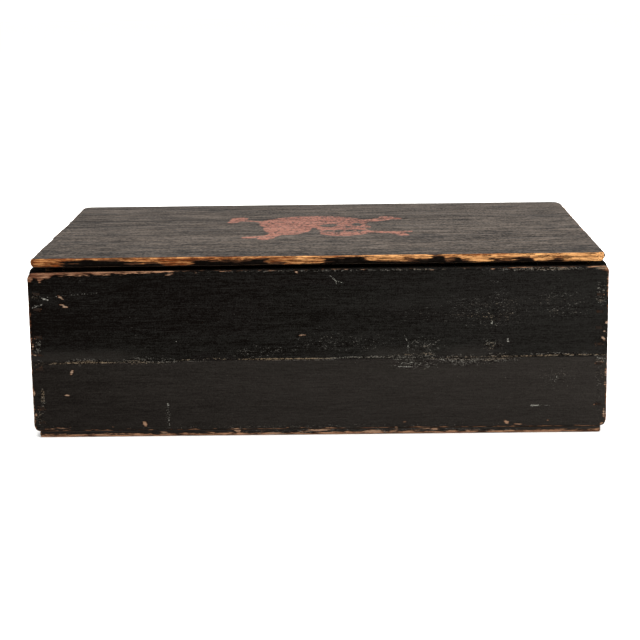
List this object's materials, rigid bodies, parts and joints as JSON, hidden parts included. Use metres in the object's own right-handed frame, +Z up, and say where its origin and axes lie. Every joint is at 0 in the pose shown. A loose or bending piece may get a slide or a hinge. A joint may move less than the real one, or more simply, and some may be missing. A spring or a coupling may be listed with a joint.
{
  "type": "wooden box",
  "caption": "Low painted pine box for papers and keepsakes, with nailed boards and a boarded lid that opens on butt hinges at the back.",
  "frame": {"origin": "middle of the case's underside, on the surface that it stands on", "axes": "+X to the right along the front, +Y towards the hinged back, +Z up"},
  "size_m": [0.61, 0.4065, 0.193],
  "materials": {
    "painted_pine": "old black paint over pine, worn to bare wood along the arrises",
    "bare_pine": "bare, aged brown",
    "nail_iron": "cut iron, dark with rust",
    "hinge_iron": "rolled sheet iron, dark with age",
    "pin_steel": "drawn, dull",
    "screw_steel": "turned and slotted, dull brown"
  },
  "bodies": {
    "case": {"front_upper_board": "painted_pine", "front_lower_board": "painted_pine", "back_upper_board": "painted_pine", "back_lower_board": "painted_pine", "left_end_upper_board": "painted_pine", "left_end_lower_board": "painted_pine", "right_end_upper_board": "painted_pine", "right_end_lower_board": "painted_pine", "bottom_front_board": "painted_pine", "bottom_middle_board": "painted_pine", "bottom_rear_board": "painted_pine", "front_left_nails": "nail_iron", "front_right_nails": "nail_iron", "back_left_nails": "nail_iron", "back_right_nails": "nail_iron", "bottom_nails": "nail_iron", "left_hinge_case_leaf": "hinge_iron", "right_hinge_case_leaf": "hinge_iron", "left_hinge_pin": "pin_steel", "right_hinge_pin": "pin_steel", "left_hinge_case_screws": "screw_steel", "right_hinge_case_screws": "screw_steel"},
    "lid": {"lid_front_board": "painted_pine", "lid_middle_board": "painted_pine", "lid_rear_board": "painted_pine", "lid_left_batten": "bare_pine", "lid_right_batten": "bare_pine", "lid_left_batten_nails": "nail_iron", "lid_right_batten_nails": "nail_iron", "left_hinge_lid_leaf": "hinge_iron", "right_hinge_lid_leaf": "hinge_iron", "left_hinge_lid_screws": "screw_steel", "right_hinge_lid_screws": "screw_steel"}
  },
  "joints": [
    {"name": "lid_hinge", "type": "hinge", "parent": "case", "child": "lid", "pos_m": [0, 0.20338, 0.18075], "axis": [-1, 0, 0], "range_deg": [0, 205]}
  ]
}
